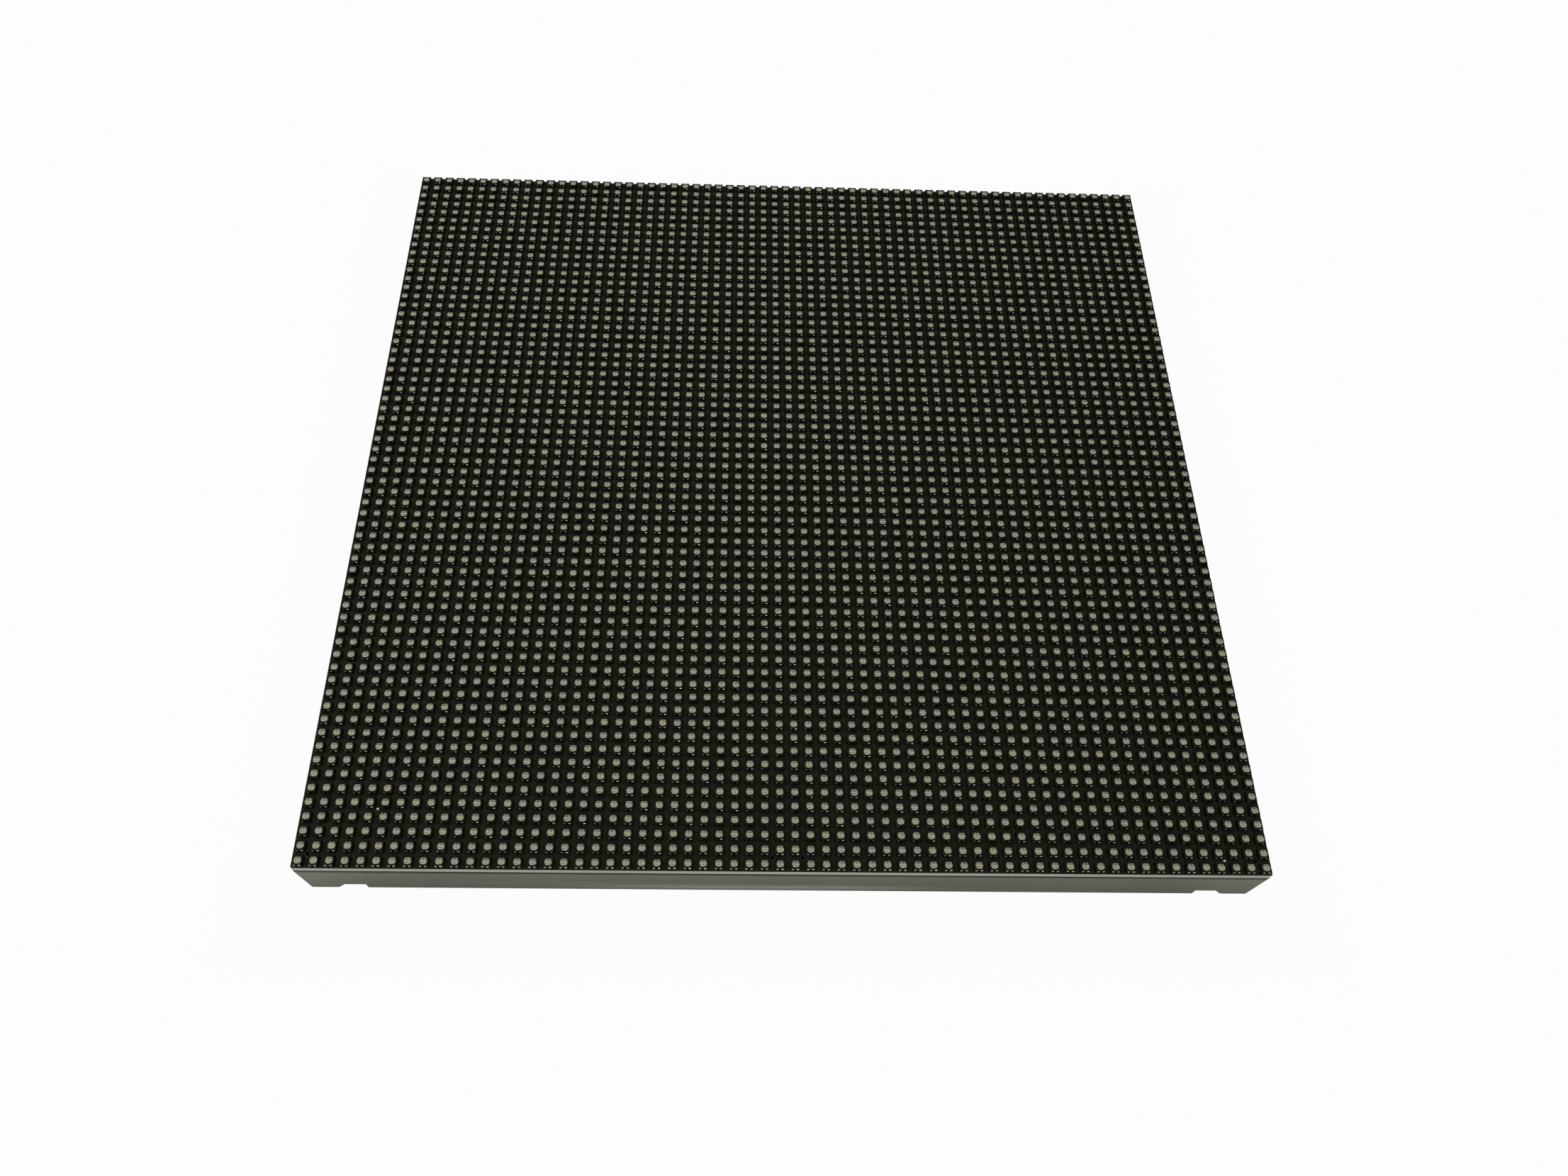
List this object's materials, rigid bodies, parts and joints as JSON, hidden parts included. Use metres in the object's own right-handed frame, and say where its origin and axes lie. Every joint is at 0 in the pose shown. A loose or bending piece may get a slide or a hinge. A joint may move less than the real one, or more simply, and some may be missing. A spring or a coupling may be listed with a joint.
{
  "type": "rgb led matrix panel",
  "caption": "Square flat LED matrix display panel: a black circuit board covered with a grid of small square LEDs, on a shallow moulded rear frame with connectors and driver chips behind.",
  "frame": {"origin": "centre of the panel on the plane of the frame's rear rim, on which it rests", "axes": "+Z out of the lit face, +X to the right and +Y away from the front edge, as the panel lies face up"},
  "size_m": [0.1918, 0.1918, 0.0138],
  "materials": {
    "black_board": "matt black solder mask with black LED packages",
    "grey_moulding": "satin moulded plastic",
    "black_nylon": "satin moulded nylon",
    "white_nylon": "glossy moulded nylon",
    "black_epoxy": "matt moulded epoxy",
    "aluminium_can": "drawn can",
    "brass": "machined",
    "zinc_steel": "bright zinc plate",
    "tinned_steel": "tin plate",
    "led_lens": "pale grey diffusing resin",
    "solder": "reflowed tin solder",
    "bare_board_edge": "sawn glass-fibre laminate"
  },
  "bodies": {
    "root": {"bus_buffer_1": "black_epoxy", "bus_buffer_2": "black_epoxy", "capacitor_1": "aluminium_can", "capacitor_2": "aluminium_can", "capacitor_3": "aluminium_can", "capacitor_4": "aluminium_can", "data_in_header": "black_nylon", "data_out_header": "black_nylon", "frame_screw_1": "zinc_steel", "frame_screw_2": "zinc_steel", "frame_screw_3": "zinc_steel", "frame_screw_4": "zinc_steel", "frame_screw_5": "zinc_steel", "frame_screw_6": "zinc_steel", "led_board": "black_board", "led_driver_01": "black_epoxy", "led_driver_02": "black_epoxy", "led_driver_03": "black_epoxy", "led_driver_04": "black_epoxy", "led_driver_05": "black_epoxy", "led_driver_06": "black_epoxy", "led_driver_07": "black_epoxy", "led_driver_08": "black_epoxy", "led_driver_09": "black_epoxy", "led_driver_10": "black_epoxy", "led_driver_11": "black_epoxy", "led_driver_12": "black_epoxy", "led_driver_13": "black_epoxy", "led_driver_14": "black_epoxy", "led_driver_15": "black_epoxy", "led_driver_16": "black_epoxy", "led_driver_17": "black_epoxy", "led_driver_18": "black_epoxy", "led_driver_19": "black_epoxy", "led_driver_20": "black_epoxy", "led_driver_21": "black_epoxy", "led_driver_22": "black_epoxy", "led_driver_23": "black_epoxy", "led_driver_24": "black_epoxy", "mounting_insert_1": "brass", "mounting_insert_2": "brass", "mounting_insert_3": "brass", "mounting_insert_4": "brass", "mounting_insert_5": "brass", "mounting_insert_6": "brass", "power_header": "white_nylon", "rear_frame": "grey_moulding", "row_driver_1": "black_epoxy", "row_driver_2": "black_epoxy", "row_driver_3": "black_epoxy", "row_driver_4": "black_epoxy", "solder_nut_1": "tinned_steel", "solder_nut_2": "tinned_steel", "solder_nut_3": "tinned_steel", "solder_nut_4": "tinned_steel", "solder_nut_5": "tinned_steel", "solder_nut_6": "tinned_steel"}
  },
  "joints": []
}
